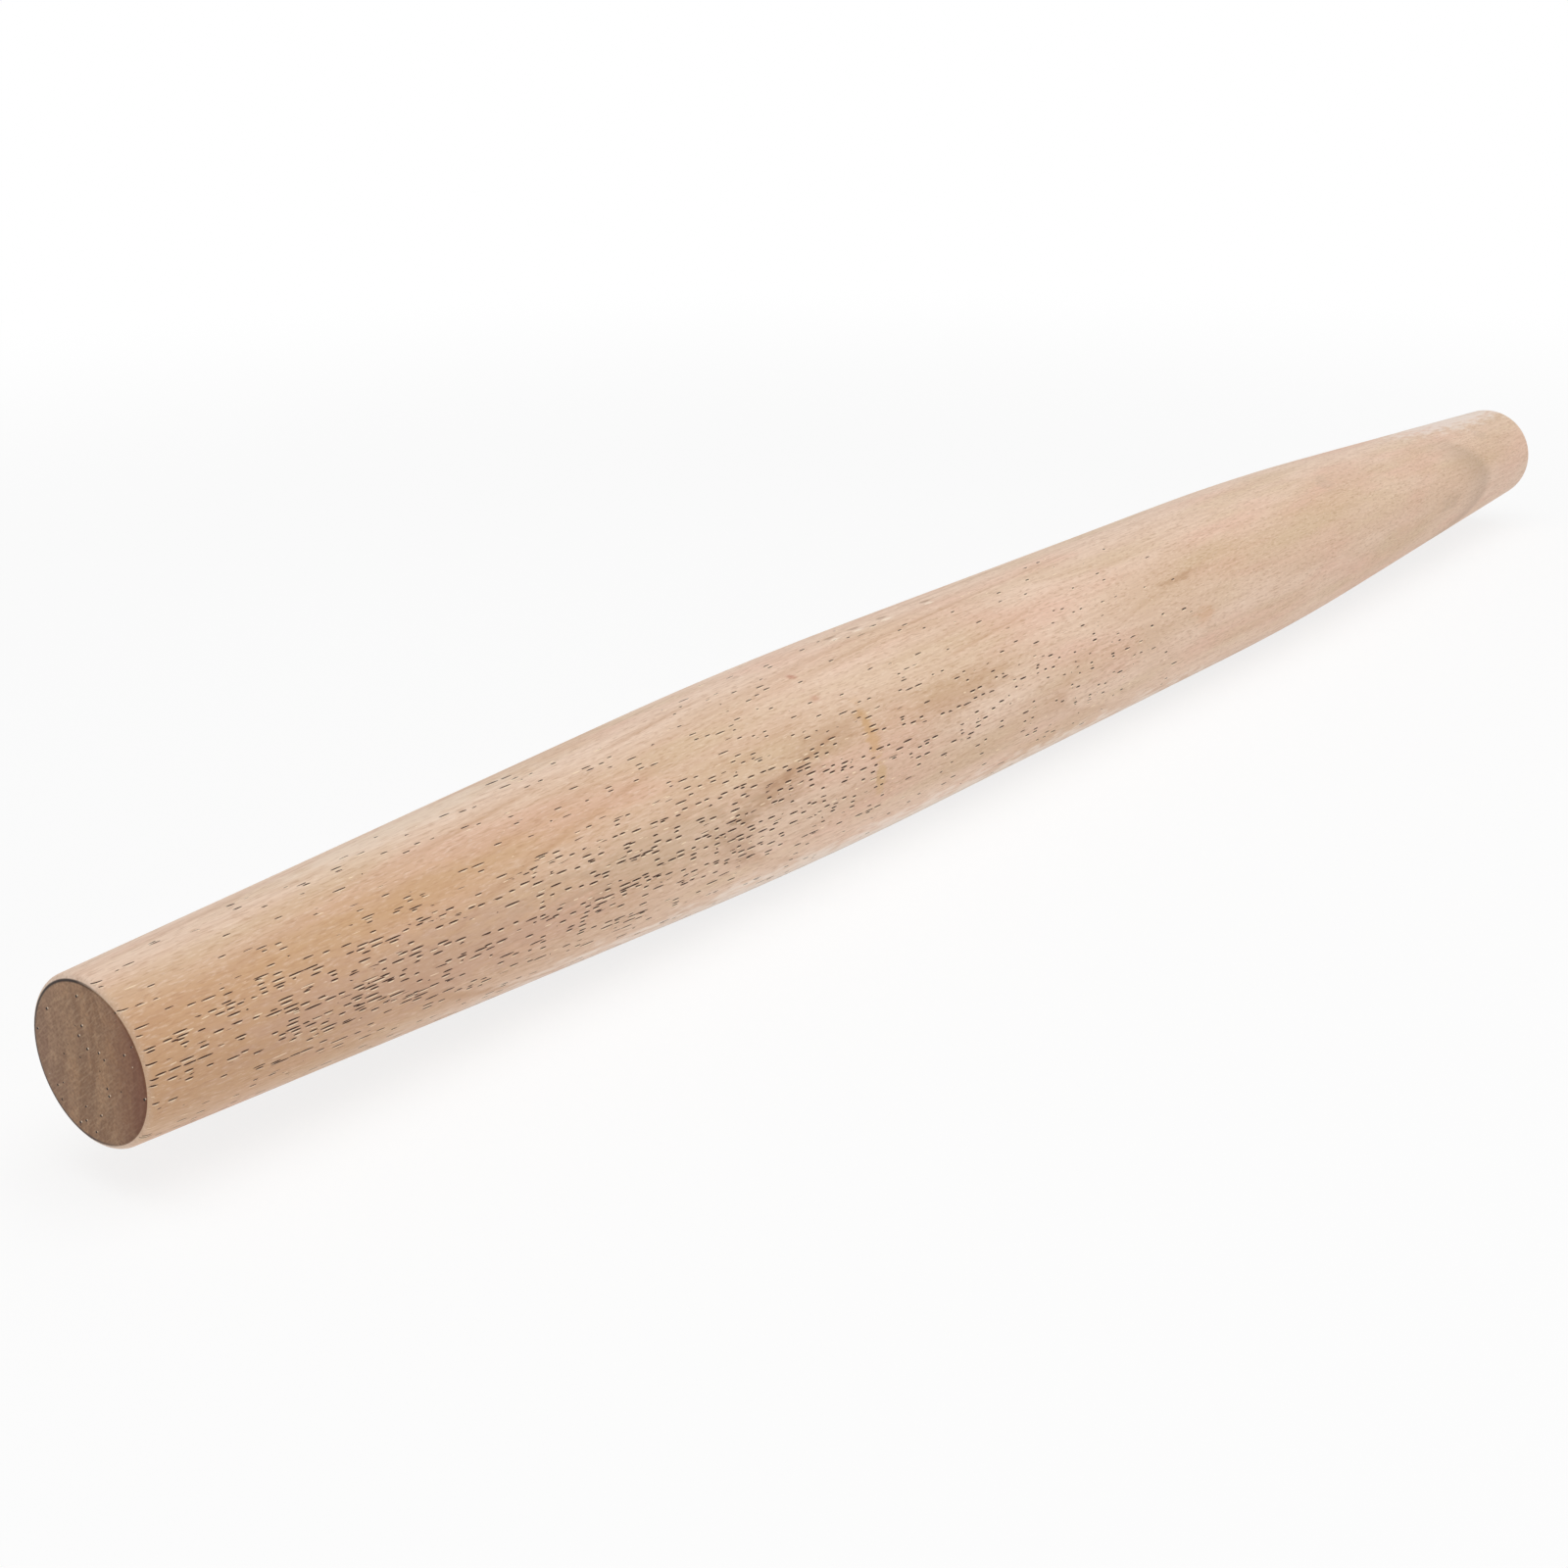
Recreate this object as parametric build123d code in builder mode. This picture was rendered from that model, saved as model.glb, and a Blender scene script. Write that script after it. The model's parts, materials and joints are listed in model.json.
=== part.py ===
"""A French rolling pin: one length of beech, turned between centres and left unvarnished.

The pin lies along X with its axis at Z 0 and its middle at the origin, +Z up. The middle is a
straight roller. Each side of it a long straight taper runs out to the end, which serves as the
handle, and a wide sweep blends the two so that no shoulder marks the dough. Both ends are sawn
and sanded square, with the arris rounded over.

All sizes are in millimetres.
"""

import os

from build123d import *

# The blank
PIN_LENGTH = 500.0
ROLLER_DIAMETER = 40.0

# The turned ends
END_DIAMETER = 26.0  # where the taper's straight line meets the end face
TAPER_LENGTH = 150.0  # from an end face to where that line meets the roller's
SHOULDER_SWEEP_RADIUS = 1500.0  # the long blend between taper and roller
ARRIS_RADIUS = 1.2  # the rounded edge of each end face


def turned_blank():
    """The whole pin, as the half outline that the gouge follows, turned about X."""
    end_x = PIN_LENGTH / 2
    shoulder_x = end_x - TAPER_LENGTH
    roller_radius = ROLLER_DIAMETER / 2
    end_radius = END_DIAMETER / 2

    with BuildPart() as pin:
        with BuildSketch(Plane.XZ) as half_outline:
            with BuildLine():
                Polyline(
                    (-end_x, 0),
                    (-end_x, end_radius),
                    (-shoulder_x, roller_radius),
                    (shoulder_x, roller_radius),
                    (end_x, end_radius),
                    (end_x, 0),
                    close=True,
                )
            make_face()
            # The outermost corners are the roller's, and the first ones off the axis the end faces'
            fillet(half_outline.vertices().group_by(Axis.Y)[-1], radius=SHOULDER_SWEEP_RADIUS)
            fillet(half_outline.vertices().group_by(Axis.Y)[1], radius=ARRIS_RADIUS)
        revolve(axis=Axis.X)
    return pin


rolling_pin = turned_blank()
rolling_pin.part.label = "rolling_pin"

os.makedirs("parts", exist_ok=True)
export_step(rolling_pin.part, "parts/rolling_pin.step")
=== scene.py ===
"""Dresses the French rolling pin: one turned length of bare beech on a pale studio floor.

The pin lies along X as in the CAD model, its near end at -X and the side that the camera sees at
-Y. Geometry Nodes turn it from its half outline, as a lathe does, and its one material is built
from the tree it grew in: growth rings about a pith that lies behind the pin, fibres along X, and
the small dark ray flecks that mark beech.

Sizes are written in millimetres, and the scene is in metres.
"""

import json
from functools import partial
from math import atan, cos, radians, sin
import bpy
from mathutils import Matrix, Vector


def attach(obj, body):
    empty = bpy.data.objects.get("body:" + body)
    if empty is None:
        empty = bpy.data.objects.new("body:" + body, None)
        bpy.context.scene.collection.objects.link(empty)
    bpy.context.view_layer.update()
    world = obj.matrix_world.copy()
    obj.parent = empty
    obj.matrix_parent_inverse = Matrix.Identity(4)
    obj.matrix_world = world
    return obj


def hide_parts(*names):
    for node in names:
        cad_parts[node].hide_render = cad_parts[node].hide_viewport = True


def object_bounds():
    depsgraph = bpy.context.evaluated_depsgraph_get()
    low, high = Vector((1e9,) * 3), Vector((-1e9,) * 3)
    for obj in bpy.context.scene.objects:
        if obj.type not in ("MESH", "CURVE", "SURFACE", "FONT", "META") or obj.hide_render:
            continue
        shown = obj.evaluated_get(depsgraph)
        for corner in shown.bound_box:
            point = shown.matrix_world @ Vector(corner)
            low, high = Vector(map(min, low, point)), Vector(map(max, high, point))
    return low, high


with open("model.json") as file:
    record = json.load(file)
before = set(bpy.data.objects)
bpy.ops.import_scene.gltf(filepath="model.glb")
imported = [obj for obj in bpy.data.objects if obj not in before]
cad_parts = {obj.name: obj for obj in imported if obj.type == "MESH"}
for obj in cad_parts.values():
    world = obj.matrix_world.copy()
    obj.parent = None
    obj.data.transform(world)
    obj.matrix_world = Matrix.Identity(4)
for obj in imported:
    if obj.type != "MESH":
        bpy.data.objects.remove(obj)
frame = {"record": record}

from types import SimpleNamespace

import bpy
from mathutils import Vector

cad_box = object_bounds()

NODE = "rolling_pin"
MM = 0.001

# The turned outline, as the part's source has it
PIN_LENGTH = (cad_box[1][0] - cad_box[0][0]) / MM
ROLLER = next(mount for mount in frame["record"]["mounts"] if mount["name"] == "roller_barrel")
ROLLER_RADIUS = ROLLER["dims"]["r_mm"]
END_RADIUS = 13.0  # where the taper's straight line meets the end face
TAPER_LENGTH = 150.0  # from an end face to where that line meets the roller's
SWEEP_RADIUS = 1500.0  # the long blend between taper and roller
ARRIS_RADIUS = 1.2  # the rounded edge of each end face

# The mesh
SIDES = 192  # faces round the pin
RING_SPACING = 4.0  # between the rings along it
SANDING_DEPTH = 0.12  # the most that hand sanding took off the turned surface
SANDING_HOLLOW = (55.0, 22.0, 22.0)  # how long and how wide each hollow is that it left
CORNER_POINTS = 8  # along each rounded corner of the outline

# The tree
PITH = (0.0, 45.0, 2.0)  # the pith, which runs behind the pin
PITH_LEAN = 0.05  # how far it leans away for each step along the pin
YEAR = 3.4  # mean width of a growth ring
RAY = (1.5, 0.175, 60.0)  # half of a ray's size along the grain, round the pith and out from it
RAY_SPACING = (2.9, 0.9, 40.0)  # from ray to ray, in the same directions


def linear(colour):
    """An sRGB hex colour as the linear values that Blender's sockets take."""
    channels = [int(colour[i : i + 2], 16) / 255 for i in (1, 3, 5)]
    return tuple(c / 12.92 if c <= 0.04045 else ((c + 0.055) / 1.055) ** 2.4 for c in channels) + (1.0,)


def add_node(tree, kind, inputs=None, **settings):
    """Adds a node. An input that is given a node or a socket is linked, and another is set."""
    node = tree.nodes.new(kind)
    for name, value in settings.items():
        setattr(node, name, value)
    for key, value in (inputs or {}).items():
        socket = node.inputs[key] if isinstance(key, int) else None
        socket = socket or next(s for s in node.inputs if s.enabled and s.name == key)
        if isinstance(value, bpy.types.Node):
            value = next(s for s in value.outputs if s.enabled)
        if isinstance(value, bpy.types.NodeSocket):
            tree.links.new(value, socket)
        else:
            socket.default_value = value
    return node


def link_object(name, data):
    """A new object in the scene, at the origin."""
    made = bpy.data.objects.new(name, data)
    bpy.context.scene.collection.objects.link(made)
    return made


# The turned pin


def pin_sizes(add, tree):
    """Gives the pin's tree its named inputs, and returns their sockets by name."""
    kinds = {
        "Length": "NodeSocketFloat",
        "Roller Radius": "NodeSocketFloat",
        "End Radius": "NodeSocketFloat",
        "Taper Length": "NodeSocketFloat",
        "Sweep Radius": "NodeSocketFloat",
        "Arris Radius": "NodeSocketFloat",
        "Ring Spacing": "NodeSocketFloat",
        "Sanding Depth": "NodeSocketFloat",
        "Sides": "NodeSocketInt",
        "Wood": "NodeSocketMaterial",
    }
    for name, kind in kinds.items():
        tree.interface.new_socket(name, in_out="INPUT", socket_type=kind)
    tree.interface.new_socket("Geometry", in_out="OUTPUT", socket_type="NodeSocketGeometry")
    group = add("NodeGroupInput")
    return {name: group.outputs[name] for name in kinds}


def half_outline(add, size):
    """The half outline with its fillets, from one end's centre over the roller to the other's."""
    near_end = add("ShaderNodeMath", {0: size["Length"], 1: -0.5}, operation="MULTIPLY")
    far_end = add("ShaderNodeMath", {0: size["Length"], 1: 0.5}, operation="MULTIPLY")
    near_shoulder = add("ShaderNodeMath", {0: near_end, 1: size["Taper Length"]}, operation="ADD")
    far_shoulder = add("ShaderNodeMath", {0: far_end, 1: size["Taper Length"]}, operation="SUBTRACT")
    # Each corner's place along X, its height off the axis, and the radius that rounds it
    corners = [
        (near_end, 0.0, 0.0),
        (near_end, size["End Radius"], size["Arris Radius"]),
        (near_shoulder, size["Roller Radius"], size["Sweep Radius"]),
        (far_shoulder, size["Roller Radius"], size["Sweep Radius"]),
        (far_end, size["End Radius"], size["Arris Radius"]),
        (far_end, 0.0, 0.0),
    ]

    order = add("GeometryNodeInputIndex")
    places = add("GeometryNodeIndexSwitch", {"Index": order}, data_type="VECTOR")
    radii = add("GeometryNodeIndexSwitch", {"Index": order}, data_type="FLOAT")
    for switch in (places, radii):
        while len(switch.index_switch_items) < len(corners):
            switch.index_switch_items.new()
    tree = places.id_data
    for i, (along, height, radius) in enumerate(corners):
        corner = add("ShaderNodeCombineXYZ", {"X": along, "Y": height})
        tree.links.new(corner.outputs["Vector"], places.inputs[i + 1])
        if radius:
            tree.links.new(radius, radii.inputs[i + 1])

    line = add("GeometryNodeMeshLine", {"Count": len(corners)})
    bent = add("GeometryNodeSetPosition", {"Geometry": line, "Position": places})
    outline = add("GeometryNodeMeshToCurve", {"Mesh": bent})
    rounding = {"Curve": outline, "Count": CORNER_POINTS, "Radius": radii}
    return add("GeometryNodeFilletCurve", rounding, mode="POLY")


def cut_along(add, outline, spacing):
    """Adds points where two of the outline's are far apart, so that the long faces can bend."""
    place = add("GeometryNodeInputPosition")
    next_one = add("ShaderNodeMath", {0: add("GeometryNodeInputIndex"), 1: 1.0}, operation="ADD")
    ahead = add("GeometryNodeFieldAtIndex", {"Index": next_one, "Value": place}, data_type="FLOAT_VECTOR")
    gap = add("ShaderNodeVectorMath", {0: place, 1: ahead}, operation="DISTANCE")
    cuts = add("ShaderNodeMath", {0: gap, 1: spacing}, operation="DIVIDE")
    return add("GeometryNodeSubdivideCurve", {"Curve": outline, "Cuts": cuts})


def turn_about_axis(add, outline, sides):
    """Drops the two points on the axis, and lets each other point's height turn a ring about X."""
    place = add("ShaderNodeSeparateXYZ", {0: add("GeometryNodeInputPosition")})
    along, height = place.outputs["X"], place.outputs["Y"]
    on_axis = add("FunctionNodeCompare", {"A": height, "B": ARRIS_RADIUS * MM}, operation="LESS_THAN")
    profile = add("GeometryNodeDeleteGeometry", {"Geometry": outline, "Selection": on_axis}, domain="POINT")
    sized = add("GeometryNodeSetCurveRadius", {"Curve": profile, "Radius": height})
    on_x = add("ShaderNodeCombineXYZ", {"X": along})
    axis = add("GeometryNodeSetPosition", {"Geometry": sized, "Position": on_x})
    ring = add("GeometryNodeCurvePrimitiveCircle", {"Resolution": sides, "Radius": 1.0})
    radius = add("GeometryNodeInputRadius")
    return add(
        "GeometryNodeCurveToMesh",
        {"Curve": axis, "Profile Curve": ring, "Scale": radius, "Fill Caps": True},
    )


def sand_by_hand(add, turned, depth):
    """Takes a little off the turned surface, in the long shallow hollows that hand sanding leaves."""
    place = add("GeometryNodeInputPosition")
    hollow = tuple(size * MM for size in SANDING_HOLLOW)
    hollows = add("ShaderNodeVectorMath", {0: place, 1: hollow}, operation="DIVIDE")
    worn = add("ShaderNodeTexNoise", {"Vector": hollows, "Scale": 1.0, "Detail": 1.0})
    taken = add("ShaderNodeMath", {0: worn, 1: depth}, operation="MULTIPLY")
    inwards = add("ShaderNodeVectorMath", {0: place, 1: (0, -1, -1)}, operation="MULTIPLY")
    inwards = add("ShaderNodeVectorMath", {0: inwards}, operation="NORMALIZE")
    offset = add("ShaderNodeVectorMath", {0: inwards, "Scale": taken}, operation="SCALE")
    return add("GeometryNodeSetPosition", {"Geometry": turned, "Offset": offset})


def lathe_tree():
    """The Geometry Nodes tree that turns the pin."""
    tree = bpy.data.node_groups.new("Lathe", "GeometryNodeTree")
    add = partial(add_node, tree)
    size = pin_sizes(add, tree)
    outline = cut_along(add, half_outline(add, size), size["Ring Spacing"])
    turned = turn_about_axis(add, outline, size["Sides"])
    sanded = sand_by_hand(add, turned, size["Sanding Depth"])

    # The sawn end faces stay flat, and everything round them is smooth
    normal = add("ShaderNodeSeparateXYZ", {0: add("GeometryNodeInputNormal")})
    squareness = add("ShaderNodeMath", {0: normal.outputs["X"]}, operation="ABSOLUTE")
    is_side = add("FunctionNodeCompare", {"A": squareness, "B": 0.999}, operation="LESS_THAN")
    smooth = add("GeometryNodeSetShadeSmooth", {"Geometry": sanded, "Shade Smooth": is_side})

    real = add("GeometryNodeRealizeInstances", {"Geometry": smooth})
    wooden = add("GeometryNodeSetMaterial", {"Geometry": real, "Material": size["Wood"]})
    add("NodeGroupOutput", {"Geometry": wooden})
    return tree


def turned_pin(wood):
    """The pin as a plain mesh, from its tree."""
    sizes = {
        "Length": PIN_LENGTH * MM,
        "Roller Radius": ROLLER_RADIUS * MM,
        "End Radius": END_RADIUS * MM,
        "Taper Length": TAPER_LENGTH * MM,
        "Sweep Radius": SWEEP_RADIUS * MM,
        "Arris Radius": ARRIS_RADIUS * MM,
        "Ring Spacing": RING_SPACING * MM,
        "Sanding Depth": SANDING_DEPTH * MM,
        "Sides": SIDES,
        "Wood": wood,
    }
    blank = link_object("blank", bpy.data.meshes.new("blank"))
    lathe = blank.modifiers.new("Lathe", "NODES")
    lathe.node_group = lathe_tree()
    for item in lathe.node_group.interface.items_tree:
        if item.name in sizes:
            lathe[item.identifier] = sizes[item.name]

    evaluated = blank.evaluated_get(bpy.context.evaluated_depsgraph_get())
    mesh = bpy.data.meshes.new_from_object(evaluated)
    blank.modifiers.remove(lathe)
    bpy.data.objects.remove(blank)
    mesh.name = "turned_pin"
    return link_object("turned_pin", mesh)


# The beech. Its patterns share one set of coordinates, in millimetres


def beech_coordinates(add):
    """Where a point is on the pin and in the tree, for the patterns to read."""
    coordinates = add("ShaderNodeTexCoord")
    wood = SimpleNamespace()
    in_mm = {0: coordinates.outputs["Object"], "Scale": 1 / MM}
    wood.place = add("ShaderNodeVectorMath", in_mm, operation="SCALE")
    parts = add("ShaderNodeSeparateXYZ", {0: wood.place})
    wood.x, wood.y, wood.z = (parts.outputs[axis] for axis in "XYZ")

    # 0 on the turned surface, where the fibres lie along it, and 1 where the saw cut them off
    normal = add("ShaderNodeSeparateXYZ", {0: coordinates.outputs["Normal"]})
    wood.squareness = add("ShaderNodeMath", {0: normal.outputs["X"]}, operation="ABSOLUTE")

    # The tree's own directions: along the trunk, round the pith, and out from it as its rays run
    pith = {"Vector": wood.place, "Location": PITH, "Rotation": (0, 0, atan(PITH_LEAN))}
    trunk = add("ShaderNodeSeparateXYZ", {0: add("ShaderNodeMapping", pith, vector_type="TEXTURE")})
    in_front = add("ShaderNodeMath", {0: trunk.outputs["Y"], 1: -1.0}, operation="MULTIPLY")
    turn = add("ShaderNodeMath", {0: trunk.outputs["Z"], 1: in_front}, operation="ARCTAN2")
    wood.round_pith = add("ShaderNodeMath", {0: turn, 1: PITH[1] + ROLLER_RADIUS}, operation="MULTIPLY")
    across = add("ShaderNodeCombineXYZ", {"X": in_front, "Y": trunk.outputs["Z"]})
    wood.from_pith = add("ShaderNodeVectorMath", {0: across}, operation="LENGTH")
    rays = {"X": wood.x, "Y": wood.round_pith, "Z": wood.from_pith}
    wood.by_rays = add("ShaderNodeCombineXYZ", rays)

    # Growth rings, which wander by 2 mm or so over a hand's length, as in a real trunk
    bend = add("ShaderNodeMapping", {"Vector": wood.place, "Scale": (150, 30, 30)}, vector_type="TEXTURE")
    wander = add("ShaderNodeTexNoise", {"Vector": bend, "Scale": 1.0, "Detail": 1.0})
    grown = add("ShaderNodeMath", {0: wander, 1: 2.4, 2: wood.from_pith}, operation="MULTIPLY_ADD")

    # Their count, with good years and lean years
    even = add("ShaderNodeMath", {0: grown, 1: YEAR}, operation="DIVIDE")
    weather = add("ShaderNodeTexNoise", {"W": even, "Scale": 0.5}, noise_dimensions="1D")
    wood.years = add("ShaderNodeMath", {0: weather, 1: 1.5, 2: even}, operation="MULTIPLY_ADD")
    wood.season = add("ShaderNodeMath", {0: wood.years}, operation="FRACT")
    return wood


def patches(add, place, size, low=0.3, high=0.7, strength=1.0, detail=2.0, start=(0, 0, 0), turn=0.0):
    """Soft patches of a size along each direction of a place, from none to a strength."""
    settings = {"Vector": place, "Location": start, "Rotation": (radians(turn), 0, 0), "Scale": size}
    cells = add("ShaderNodeMapping", settings, vector_type="TEXTURE")
    noise = add("ShaderNodeTexNoise", {"Vector": cells, "Scale": 1.0, "Detail": detail})
    levels = {"Value": noise, "From Min": low, "From Max": high, "To Max": strength}
    return add("ShaderNodeMapRange", levels, interpolation_type="SMOOTHSTEP")


def facing(add, wood, degrees, low=0.0, high=1.0, strength=1.0):
    """From none to a strength as the side turns to face one way, in degrees up from -Y."""
    around = add("ShaderNodeVectorMath", {0: wood.place, 1: (0, 1, 1)}, operation="MULTIPLY")
    outwards = add("ShaderNodeVectorMath", {0: around}, operation="NORMALIZE")
    aim = (0, -cos(radians(degrees)), sin(radians(degrees)))
    turned = add("ShaderNodeVectorMath", {0: outwards, 1: aim}, operation="DOT_PRODUCT")
    levels = {"Value": turned, "From Min": low, "From Max": high, "To Max": strength}
    return add("ShaderNodeMapRange", levels, interpolation_type="SMOOTHSTEP")


def heartwood(add, wood):
    """The tan heart that shows on the near taper, strongest at its end."""
    side = facing(add, wood, 12, low=0.3, strength=0.92)
    levels = {"Value": wood.x, "From Min": -100.0, "From Max": -260.0, "To Max": side}
    return add("ShaderNodeMapRange", levels, interpolation_type="SMOOTHSTEP")


def latewood(add, wood):
    """The thin dark line that closes a year, clear in some years and places and faint in others."""
    darken = add("ShaderNodeMath", {0: wood.season, 1: 5.0}, operation="POWER")
    levels = {"Value": wood.season, "From Min": 1.0, "From Max": 0.9, "To Max": darken}
    line = add("ShaderNodeMapRange", levels)
    year = add("ShaderNodeMath", {0: wood.years}, operation="FLOOR")
    clear = add("ShaderNodeTexWhiteNoise", {"W": year}, noise_dimensions="1D")
    levels = {"Value": wood.x, "From Min": 40.0, "From Max": -60.0, "To Min": 0.25}
    near = add("ShaderNodeMapRange", levels)
    worn = patches(add, wood.place, (40, 6, 6), high=0.6)
    for part in (clear, near, worn):
        line = add("ShaderNodeMath", {0: line, 1: part}, operation="MULTIPLY")
    return line


def fleck_chance(add, wood):
    """How many of the places for a fleck hold one: most on the near half, front and back."""
    levels = {"Value": wood.x, "From Min": 42.0, "From Max": -22.0}
    near_half = add("ShaderNodeMapRange", levels, interpolation_type="SMOOTHSTEP")
    levels = {"Value": wood.x, "From Min": -60.0, "From Max": -125.0, "To Min": 0.4}
    near_taper = add("ShaderNodeMapRange", levels, interpolation_type="SMOOTHSTEP")
    front = facing(add, wood, 8, low=0.73, strength=0.68)
    back = facing(add, wood, 188, low=0.73, strength=0.6)
    side = add("ShaderNodeMath", {0: front, 1: back}, operation="ADD")
    # Few show between the two, and none where the surface runs along the rays
    flanks = facing(add, wood, 0, low=-0.3, high=0.0, strength=0.27)
    side = add("ShaderNodeMath", {0: side, 1: flanks}, operation="ADD")
    # They follow one another in runs along the grain, each a ray or two wide
    runs = patches(add, wood.by_rays, (18, 1.4, 2.5), low=0.44, high=0.68, strength=0.72, detail=1.0)
    runs = add("ShaderNodeMath", {0: runs, 1: 0.2}, operation="ADD")
    sawn = add("ShaderNodeMapRange", {"Value": wood.squareness, "From Min": 0.97, "From Max": 0.5})
    chance = sawn
    for part in (near_half, near_taper, side, runs):
        chance = add("ShaderNodeMath", {0: chance, 1: part}, operation="MULTIPLY")
    return chance


def nearest_ray(add, wood):
    """The way to a point from the middle of its nearest ray, in half rays, and the ray's own numbers."""
    cells = add("ShaderNodeMapping", {"Vector": wood.by_rays, "Scale": RAY_SPACING}, vector_type="TEXTURE")
    rays = add("ShaderNodeTexVoronoi", {"Vector": cells, "Scale": 1.0, "Randomness": 0.9})
    own = add("ShaderNodeSeparateColor", {0: rays.outputs["Color"]})
    from_middle = add("ShaderNodeVectorMath", {0: cells, 1: rays.outputs["Position"]}, operation="SUBTRACT")
    in_half_rays = tuple(spacing / half for spacing, half in zip(RAY_SPACING, RAY))
    from_middle = add("ShaderNodeVectorMath", {0: from_middle, 1: in_half_rays}, operation="MULTIPLY")
    return from_middle, own


def fleck_shrinkage(add, wood, own):
    """How many times shorter and narrower a fleck is than a whole ray."""
    # Each has its own length. The taper cuts them longest, and the roller shortest
    shorter = add("ShaderNodeMapRange", {"Value": own.outputs["Green"], "To Min": 0.85, "To Max": 2.4})
    cut = {"Value": wood.x, "From Min": -170.0, "From Max": -30.0, "To Min": 1.0, "To Max": 1.3}
    shorter = add("ShaderNodeMath", {0: shorter, 1: add("ShaderNodeMapRange", cut)}, operation="MULTIPLY")
    # Away from the front the surface slants across them, which would draw them wide
    slant = facing(add, wood, -5, low=0.6)
    narrower = add("ShaderNodeMapRange", {"Value": slant, "To Min": 1.5, "To Max": 1.0})
    return add("ShaderNodeCombineXYZ", {"X": shorter, "Y": narrower, "Z": 1.0})


def ray_flecks(add, wood):
    """Rays cut across: dark spindles along the grain, 1 to 3 mm long and 0.2 to 0.4 mm wide.

    Returns the dark spindles, and a pale painted highlight on the lower lip of each.
    """
    from_middle, own = nearest_ray(add, wood)
    chance = fleck_chance(add, wood)
    shown = add("ShaderNodeMath", {0: own.outputs["Red"], 1: chance}, operation="LESS_THAN")
    depth = add("ShaderNodeMapRange", {"Value": own.outputs["Blue"], "To Min": 0.95, "To Max": 1.0})
    shown = add("ShaderNodeMath", {0: shown, 1: depth}, operation="MULTIPLY")

    shrinkage = fleck_shrinkage(add, wood, own)
    from_middle = add("ShaderNodeVectorMath", {0: from_middle, 1: shrinkage}, operation="MULTIPLY")
    # A pale painted highlight just under each fleck, where its lower lip would catch light from above
    from_lit_lip = add("ShaderNodeVectorMath", {0: from_middle, 1: (0, 1.85, 0)}, operation="ADD")
    shapes = []
    for middle, reach in ((from_middle, 1.05), (from_lit_lip, 0.85)):
        out = add("ShaderNodeVectorMath", {0: middle}, operation="LENGTH")
        shape = {"Value": out, "From Min": reach, "From Max": reach - 0.1, "To Max": shown}
        shapes.append(add("ShaderNodeMapRange", shape))
    return shapes


def pores_and_their_highlights(add, wood, radius, start=(0, 0, 0)):
    """Pinpricks in the end grain, some gathered, where the saw opened the larger vessels.

    A real one is 0.1 mm wide, too fine to show, so they are drawn four times as wide.
    Drawn again, smaller, paler and a little off, they give each pore a painted highlight.
    """
    spacing = 1.5  # from pore to pore
    settings = {"Vector": wood.place, "Location": start, "Scale": (spacing, spacing, spacing)}
    cells = add("ShaderNodeMapping", settings, vector_type="TEXTURE")
    pores = add("ShaderNodeTexVoronoi", {"Vector": cells, "Scale": 1.0})
    one = add("ShaderNodeSeparateColor", {0: pores.outputs["Color"]})
    gathered = patches(add, wood.place, (9, 3, 5), low=0.38, high=0.7)
    shown = add("ShaderNodeMath", {0: one.outputs["Red"], 1: gathered}, operation="LESS_THAN")
    reach = radius / spacing
    out = pores.outputs["Distance"]
    levels = {"Value": out, "From Min": reach, "From Max": reach - 0.03, "To Max": shown}
    return add("ShaderNodeMapRange", levels)


# Marks on this one pin: how far each lies from the near end and how many
# degrees up from the camera's side, its half length and half width, its colour and its strength
# The last three are no marks but painted light: a paler underside for the floor's bounce, and a paler top
# edge, near and far, for a highlight
MARKS_AND_PAINTED_LIGHT = {
    "golden band over the near taper": (55, 42, 70, 4.5, "#C2955F", 0.25),
    "rosy wood under it": (50, 2, 50, 9.0, "#C4A08C", 0.45),
    "brown heart": (187, 26, 24, 5.0, "#B0835A", 0.32),
    "brown smear": (131, 16, 17, 5.0, "#A17651", 0.31),
    "upper arm of the smear": (149, 32, 16, 4.5, "#AE8460", 0.3),
    "foot of the smear": (118, 3, 7, 6.5, "#9F7453", 0.28),
    "ochre stain across the grain": (159, 26, 2.6, 7.0, "#C79650", 0.45),
    "foot of the ochre stain": (160, 2, 2.0, 5.0, "#C9A262", 0.4),
    "resin spot": (151, 73, 1.8, 1.2, "#A8583C", 0.7),
    "second resin spot": (150, 62, 1.2, 0.8, "#B06A4E", 0.5),
    "third resin spot": (151, 54, 2.4, 1.4, "#B06A4E", 0.45),
    "brown streak": (279, 36, 14, 1.3, "#A97C55", 0.4),
    "orange patch": (285, 7, 7, 2.8, "#CF9468", 0.3),
    "grey patch": (365, 60, 5.0, 3.8, "#AE9C88", 0.2),
    "far patch": (435, -2, 9, 4.0, "#A38B72", 0.22),
    "far speck": (470, 52, 5, 3.0, "#B49A84", 0.2),
    "green tinge": (98, 13, 32, 6.0, "#B59C7C", 0.3),
    # Painted light: a pale underside for the light that the floor throws up
    "pale wood underneath": (165, -50, 190, 7.5, "#FBEFE4", 0.75),
    # Painted highlights along the top edge, near and far
    "pale wood along the top": (62, 97, 40, 5.0, "#F6E4D4", 0.4),
    "pale wood along the far top": (470, 95, 55, 8.0, "#F6ECE4", 0.6),
}

# Small dents in a row along the top, each where a fibre bundle tore out under the gouge
DENTS = (143, 152, 172, 180, 189, 204)
DENT_ANGLE = 94
LIT_LIP_ANGLE = 90  # of the painted highlight beside each dent
TEAR_DEPTH = 0.15  # of each dent


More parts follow.
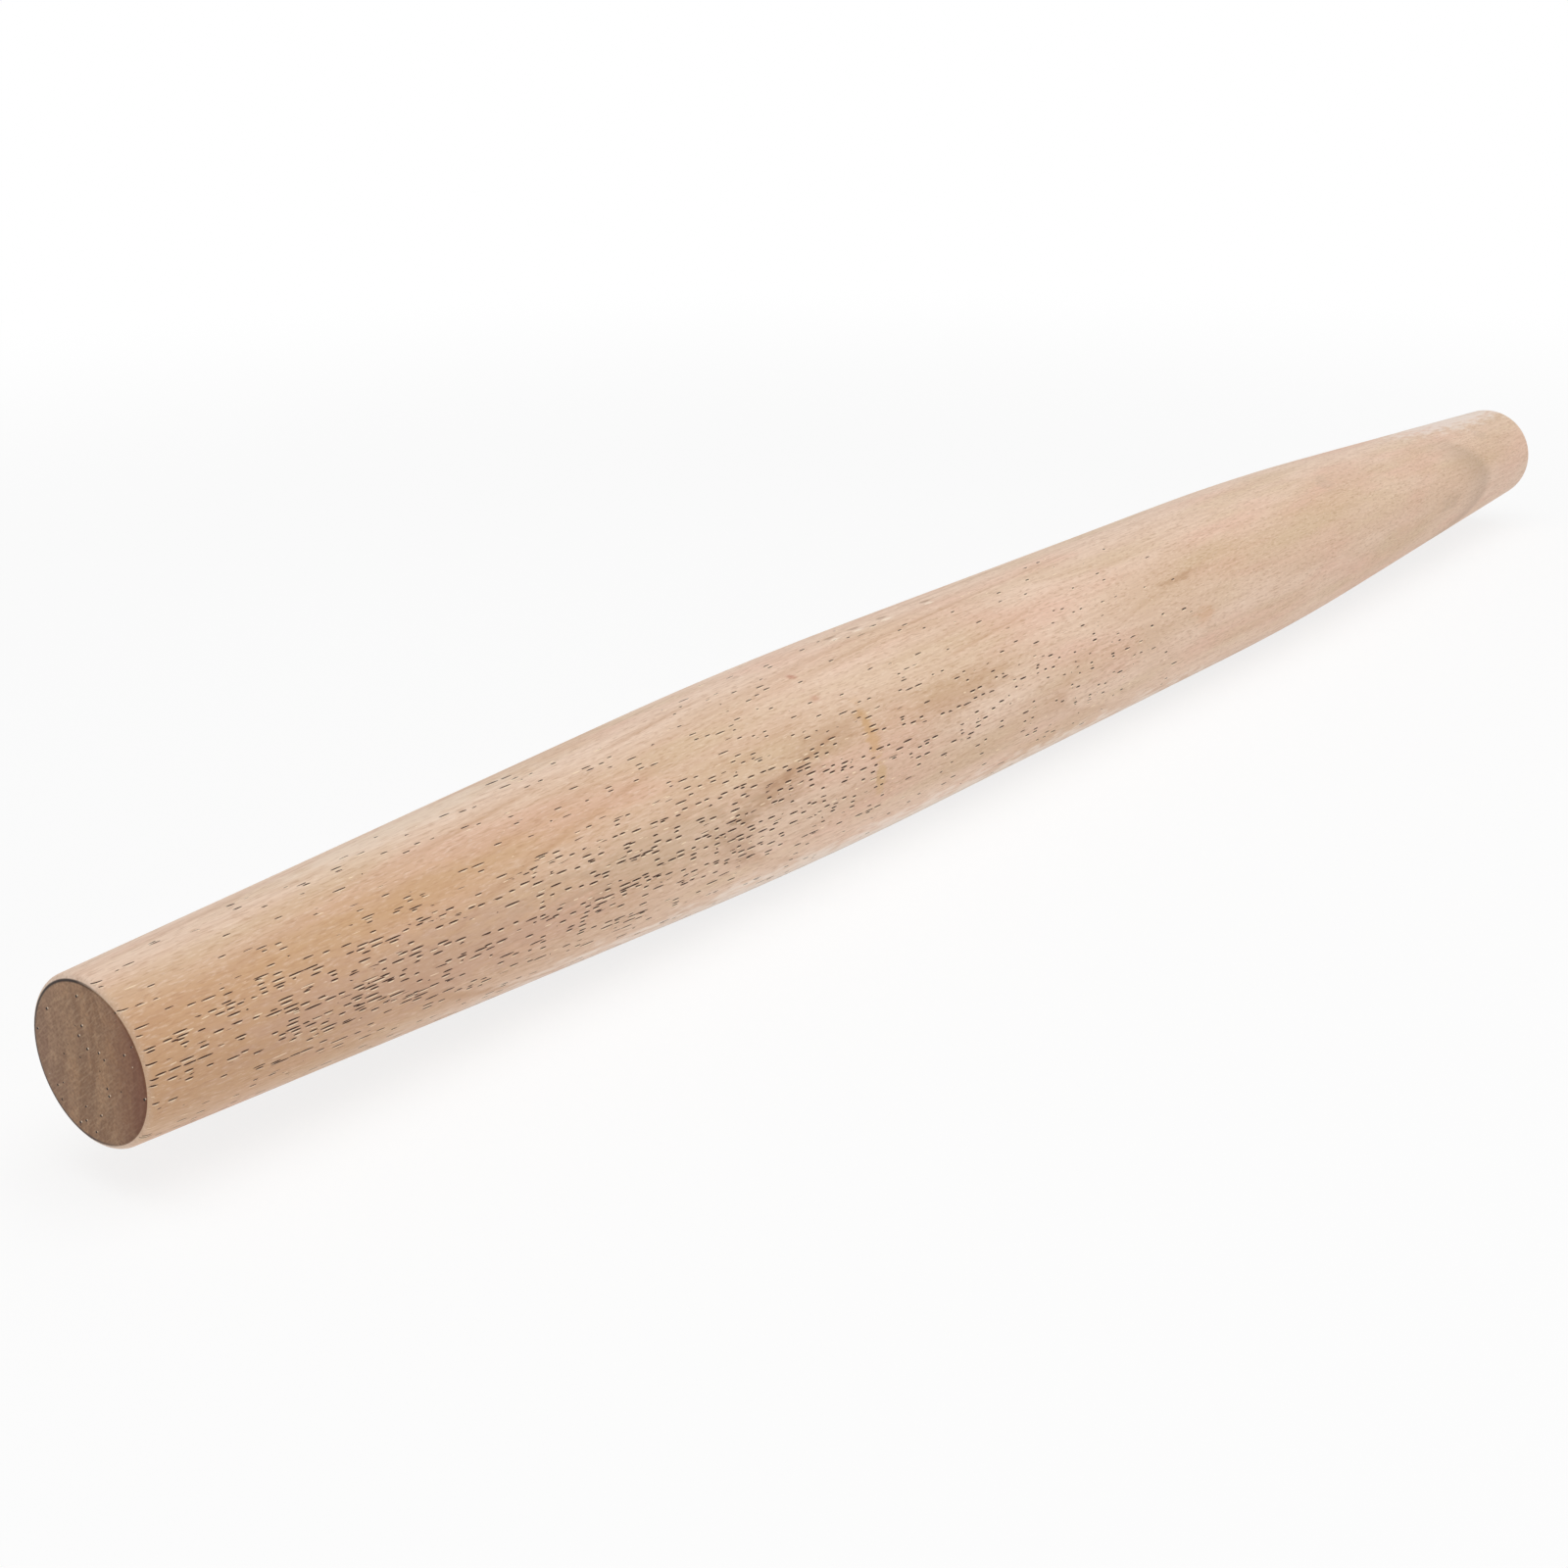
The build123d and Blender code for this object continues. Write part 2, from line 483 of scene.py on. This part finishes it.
def on_side(along, degrees):
    """The point on the turned surface at a distance from the near end and an angle round it."""
    from_end = min(along, PIN_LENGTH - along)
    taper = END_RADIUS + (ROLLER_RADIUS - END_RADIUS) * from_end / TAPER_LENGTH
    radius = min(ROLLER_RADIUS, taper)
    turn = radians(degrees)
    return along - PIN_LENGTH / 2, -radius * cos(turn), radius * sin(turn)


def spot(add, wood, fray, centre, half_length, half_width, strength):
    """A spot with a frayed rim, drawn out along the grain."""
    size = (half_length, half_width, half_width)
    settings = {"Vector": wood.place, "Location": centre, "Scale": size}
    inside = add("ShaderNodeMapping", settings, vector_type="TEXTURE")
    reach = add("ShaderNodeVectorMath", {0: inside}, operation="LENGTH")
    reach = add("ShaderNodeMath", {0: reach, 1: fray}, operation="ADD")
    levels = {"Value": reach, "From Min": 1.3, "From Max": 0.5, "To Max": strength}
    return add("ShaderNodeMapRange", levels, interpolation_type="SMOOTHSTEP")


def cathedral(add, wood):
    """The thin dark line of one strong ring, which the taper cuts to a pointed arch."""
    fray = patches(add, wood.place, (6, 1.5, 1.5), strength=0.6, detail=3.0)
    around = spot(add, wood, fray, on_side(130, 4), 18, 12, 0.26)
    arch = PITH[1] + ROLLER_RADIUS - 8.0  # a ring that lies 8 mm deep under the roller's front
    off = add("ShaderNodeMath", {0: wood.from_pith, 1: fray}, operation="ADD")
    off = add("ShaderNodeMath", {0: off, 1: arch}, operation="SUBTRACT")
    off = add("ShaderNodeMath", {0: off}, operation="ABSOLUTE")
    levels = {"Value": off, "From Min": 0.4, "From Max": 0.0, "To Max": around}
    return add("ShaderNodeMapRange", levels, interpolation_type="SMOOTHSTEP")


def painted_arris_light(add, wood):
    """Painted light on the rounded edge of each end: pale, to offset its shade as it turns away."""
    levels = {"Value": wood.squareness, "From Min": 0.985, "From Max": 0.95, "To Max": 0.15}
    inner = add("ShaderNodeMapRange", levels)
    levels = {"Value": wood.squareness, "From Min": 0.1, "From Max": 0.8, "To Max": inner}
    return add("ShaderNodeMapRange", levels)


def dark_rim_line(add, wood):
    """The hair-thin dark line round each end face, along the arris beside the flat.

    It fades on the camera's side, where the cut leaves less of the arris.
    """
    levels = {"Value": wood.y, "From Min": -5.0, "From Max": 1.0, "To Min": 0.15, "To Max": 0.97}
    strength = add("ShaderNodeMapRange", levels)
    levels = {"Value": wood.squareness, "From Min": 0.999, "From Max": 0.985, "To Max": strength}
    inner = add("ShaderNodeMapRange", levels)
    levels = {"Value": wood.squareness, "From Min": 0.88, "From Max": 0.94, "To Max": inner}
    return add("ShaderNodeMapRange", levels)


def far_arc(add, wood):
    """A soft dark arc across the far taper, where a leaning growth ring comes to the surface."""
    # It bends back along X with the square of its height on the pin
    height = add("ShaderNodeMath", {0: wood.z, 1: 1.0}, operation="SUBTRACT")
    squared = add("ShaderNodeMath", {0: height, 1: height}, operation="MULTIPLY")
    bent = add("ShaderNodeMath", {0: squared, 1: 0.11, 2: wood.x}, operation="MULTIPLY_ADD")
    side = facing(add, wood, 0, low=0.2, high=0.8, strength=0.4)
    outer = add("ShaderNodeMapRange", {"Value": bent, "From Min": 218.0, "From Max": 212.0, "To Max": side})
    levels = {"Value": bent, "From Min": 190.0, "From Max": 213.0, "To Max": outer}
    return add("ShaderNodeMapRange", levels, interpolation_type="SMOOTHSTEP")


def sawn_layers(add, wood):
    """The end grain's colours: darker and browner, with soft rings, pores and sanding scratches."""
    # The cut is a little out of square, which leaves less of the arris on the camera's side
    lean = add("ShaderNodeMapRange", {"Value": wood.y, "From Min": 0.0, "From Max": -12.0, "To Max": 0.08})
    flat = add("ShaderNodeMath", {0: wood.squareness, 1: lean}, operation="ADD")
    flat = add("ShaderNodeMapRange", {"Value": flat, "From Min": 0.97, "From Max": 0.985})
    back = add("ShaderNodeMapRange", {"Value": wood.y, "From Min": 3.0, "From Max": 10.0, "To Max": 0.4})
    rim = add("ShaderNodeMapRange", {"Value": wood.y, "From Min": -3.0, "From Max": -11.5, "To Max": 0.75})
    blotches = patches(add, wood.place, (9, 2, 4), low=0.1, high=0.5)
    # From the ground up: its brown, the rings, a greyer back, clouds, fibre ends, slanting scratches,
    # a redder rim on the camera's side, a pale painted highlight beside each pore, and the pores
    layers = [
        (0.9, "#AE8560"),
        (patches(add, wood.by_rays, (40, 40, 2.2), low=0.42, high=0.58, strength=0.65), "#815B3F"),
        (back, "#A38474"),
        (patches(add, wood.place, (9, 4, 4), strength=0.35), "#947760"),
        (patches(add, wood.place, (9, 0.5, 0.5), detail=3.0, strength=0.6), "#7C5B43"),
        (patches(add, wood.place, (9, 2, 0.3), low=0.45, high=0.8, strength=0.45, turn=-40), "#C9A887"),
        (add("ShaderNodeMath", {0: rim, 1: blotches}, operation="MULTIPLY"), "#713B27"),
        # Painted highlight: a pale dot beside each pore
        (pores_and_their_highlights(add, wood, 0.17, start=(0, -0.3, 0.2)), "#F3DCC2"),
        (pores_and_their_highlights(add, wood, 0.24), "#1E0F09"),
    ]
    on_end = [
        (add("ShaderNodeMath", {0: flat, 1: part}, operation="MULTIPLY"), stain)
        for part, stain in layers
    ]
    return on_end + [(dark_rim_line(add, wood), "#24140C")]


def ground(add, wood):
    """The wood's colours over its palest: clouds, fibres, rings, and painted light at top, bottom and arris.
    """
    # Cloudy differences of a hand's breadth along the grain and a finger's across it
    # The tan keeps to the belly, leaving top and underside paler: painted light from above and below
    belly_between_painted_lights = facing(add, wood, 25, low=0.3, high=0.9)
    tan = patches(add, wood.place, (70, 12, 12), low=0.2, strength=belly_between_painted_lights)
    clouds = {"low": 0.45, "high": 0.7}
    rosy = patches(add, wood.place, (50, 9, 9), strength=0.5, start=(40, 0, 9), **clouds)
    straw = patches(add, wood.place, (60, 8, 8), strength=0.4, start=(0, 30, 5), **clouds)
    # A beech fibre is 1 mm long and 0.02 mm wide, too fine to show, so these are bundles of them:
    # streaks some 15 mm long, and short dark and pale ticks, the finest that the eye makes out
    ticks = {"low": 0.5, "high": 0.75}
    streaks = patches(add, wood.place, (15, 0.6, 0.6), 0.35, 0.75, strength=0.3, detail=3.0)
    dark = patches(add, wood.place, (2.2, 0.3, 0.3), strength=0.42, detail=1.0, **ticks)
    pale = patches(add, wood.place, (1.6, 0.3, 0.3), strength=0.25, start=(3, 0, 0), **ticks)
    return [
        (tan, "#DABBA0"),
        (rosy, "#E4B9A4"),
        (straw, "#CFB68E"),
        (heartwood(add, wood), "#C49A73"),
        (streaks, "#BC9474"),
        (dark, "#AE8260"),
        (pale, "#FBE9D8"),
        (latewood(add, wood), "#BC9270"),
        (far_arc(add, wood), "#A88F77"),
        (cathedral(add, wood), "#94694B"),
        # Painted light on the arris
        (painted_arris_light(add, wood), "#F6E4D2"),
    ]


def marks_and_painted_light(add, wood, fray):
    """The marks of this one pin, and the pale painted light along its top and underside, each with its
    colour.
    """
    layers = []
    for along, degrees, half_length, half_width, stain, strength in MARKS_AND_PAINTED_LIGHT.values():
        centre = on_side(along, degrees)
        layers.append((spot(add, wood, fray, centre, half_length, half_width, strength), stain))
    return layers


def torn_dents(add, wood, fray):
    """A painted highlight beside each dent, with its colour, and how torn the wood is, from 0 to 1."""
    pale = []
    torn = 0.0
    for along in DENTS:
        # A pale spot on the lip beside each dent: a painted highlight
        beside = spot(add, wood, fray, on_side(along, LIT_LIP_ANGLE), 2.2, 0.6, 0.6)
        pale.append((beside, "#FFF1DF"))
        dent = spot(add, wood, fray, on_side(along, DENT_ANGLE), 2.4, 0.6, 1.0)
        torn = add("ShaderNodeMath", {0: dent, 1: torn}, operation="MAXIMUM")
    return pale, torn


def beech_layers(add, wood):
    """The wood's colours over its palest, from the ground to the flecks, and its relief in mm."""
    fray = patches(add, wood.place, (5, 1.2, 1.2), strength=0.6, detail=3.0)
    pale, torn = torn_dents(add, wood, fray)
    flecks, lit_lips = ray_flecks(add, wood)
    layers = ground(add, wood) + marks_and_painted_light(add, wood, fray) + pale + sawn_layers(add, wood)
    layers += [
        (add("ShaderNodeMath", {0: torn, 1: 0.5}, operation="MULTIPLY"), "#8A5F40"),
        # The painted highlight under each fleck
        (add("ShaderNodeMath", {0: lit_lips, 1: 0.6}, operation="MULTIPLY"), "#FFEBCB"),
        (flecks, "#301002"),
    ]
    relief = add("ShaderNodeMath", {0: torn, 1: -TEAR_DEPTH}, operation="MULTIPLY")
    return layers, relief


def bare_beech():
    """Turned and sanded bare beech.

    A pale pinkish tan with no varnish: matt, with a faint sheen off its fibres, fine darker ring
    lines, dark ray flecks along the grain on the side and browner end grain where it was sawn.
    """
    material = bpy.data.materials.new("turned and sanded bare beech")
    material.use_nodes = True
    tree = material.node_tree
    tree.nodes.clear()
    add = partial(add_node, tree)
    layers, relief = beech_layers(add, beech_coordinates(add))

    colour = linear("#ECD1BC")
    for amount, stain in layers:
        mixed = {"Factor": amount, "A": colour, "B": linear(stain)}
        colour = add("ShaderNodeMix", mixed, data_type="RGBA")
    bump = add("ShaderNodeBump", {"Strength": 1.0, "Distance": MM, "Height": relief})
    # Wood's own IOR, with less gloss than a smooth solid's, because sanded fibres stand open
    finish = {"Roughness": 0.65, "IOR": 1.5, "Specular IOR Level": 0.3, "Sheen Weight": 0.08}
    surface = add("ShaderNodeBsdfPrincipled", {"Base Color": colour, "Normal": bump, **finish})
    add("ShaderNodeOutputMaterial", {"Surface": surface})
    return material


# The studio, with its lamps and their places in metres

FLOOR_REACH = 4000.0  # from the middle of the floor to its edges


def seen_directly(add):
    """1 for the camera's rays and those off gloss or through glass, which see a white background."""
    path = add("ShaderNodeLightPath")
    camera, glossy, through = (path.outputs[f"Is {ray} Ray"] for ray in ("Camera", "Glossy", "Transmission"))
    either = add("ShaderNodeMath", {0: camera, 1: glossy}, operation="MAXIMUM")
    return add("ShaderNodeMath", {0: either, 1: through}, operation="MAXIMUM")


def studio_floor():
    """A pale floor, plain white to the eye but for the pin's soft shadow."""
    edge = FLOOR_REACH * MM
    floor_z = cad_box[0][2]
    corners = [(x, y, floor_z) for x, y in ((-edge, -edge), (edge, -edge), (edge, edge), (-edge, edge))]
    mesh = bpy.data.meshes.new("studio_floor")
    mesh.from_pydata(corners, [], [(0, 1, 2, 3)])
    floor = link_object("studio_floor", mesh)

    material = bpy.data.materials.new("matt white painted floor")
    material.use_nodes = True
    tree = material.node_tree
    tree.nodes.clear()
    add = partial(add_node, tree)
    place = add("ShaderNodeTexCoord").outputs["Object"]
    flat = add("ShaderNodeVectorMath", {0: place, 1: (1, 1, 0)}, operation="MULTIPLY")
    away = add("ShaderNodeVectorMath", {0: flat}, operation="LENGTH")
    # Near the pin some of the shadow shows, and 0.7 m out the floor has the background's white
    levels = {"Value": away, "From Min": 0.25, "From Max": 0.7, "To Min": 0.8, "To Max": 1.0}
    white = add("ShaderNodeMapRange", levels, interpolation_type="SMOOTHSTEP")
    white = add("ShaderNodeMath", {0: white, 1: seen_directly(add)}, operation="MULTIPLY")
    paint = add("ShaderNodeBsdfDiffuse", {"Color": linear("#F8F8F8")})
    glow = add("ShaderNodeEmission", {"Color": linear("#FFFFFF"), "Strength": 1.0})
    add("ShaderNodeOutputMaterial", {"Surface": add("ShaderNodeMixShader", {0: white, 1: paint, 2: glow})})
    mesh.materials.append(material)


def studio_world():
    """White where it is seen, and a dim even grey where it only gives light."""
    world = bpy.data.worlds.new("studio")
    world.use_nodes = True
    tree = world.node_tree
    tree.nodes.clear()
    add = partial(add_node, tree)
    strength = add("ShaderNodeMapRange", {"Value": seen_directly(add), "To Min": 0.37, "To Max": 1.0})
    backdrop = add("ShaderNodeBackground", {"Color": linear("#FFFFFF"), "Strength": strength})
    add("ShaderNodeOutputWorld", {"Surface": backdrop})
    bpy.context.scene.world = world


def softbox(name, place, width, height, watts):
    """A soft area lamp that faces the pin."""
    lamp = bpy.data.lights.new(name, "AREA")
    lamp.shape = "RECTANGLE"
    lamp.size = width
    lamp.size_y = height
    lamp.energy = watts
    holder = link_object(name, lamp)
    holder.location = place
    holder.rotation_euler = (-Vector(place)).to_track_quat("-Z", "Y").to_euler()


def camera():
    """The photograph's view, from past the near end and above, as fitted to the pin's outline."""
    lens = bpy.data.cameras.new("camera")
    lens.sensor_width = 36.0
    lens.lens = 52.96
    heading = radians(37.59)
    tilt = radians(-20.23)
    look = Vector((cos(tilt) * cos(heading), cos(tilt) * sin(heading), sin(tilt)))
    eye = link_object("camera", lens)
    eye.location = Vector((-416.6, -248.6, 145.4)) * MM
    eye.rotation_euler = look.to_track_quat("-Z", "Y").to_euler()
    bpy.context.scene.camera = eye


pin = turned_pin(bare_beech())
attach(pin, "root")
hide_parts(NODE)

studio_floor()
studio_world()
softbox("overhead", (-0.15, -0.25, 1.3), 1.6, 1.2, watts=12.6)
softbox("front", (-0.25, -1.5, 0.2), 1.2, 0.8, watts=5.2)
camera()
bpy.context.scene.view_settings.view_transform = "Standard"
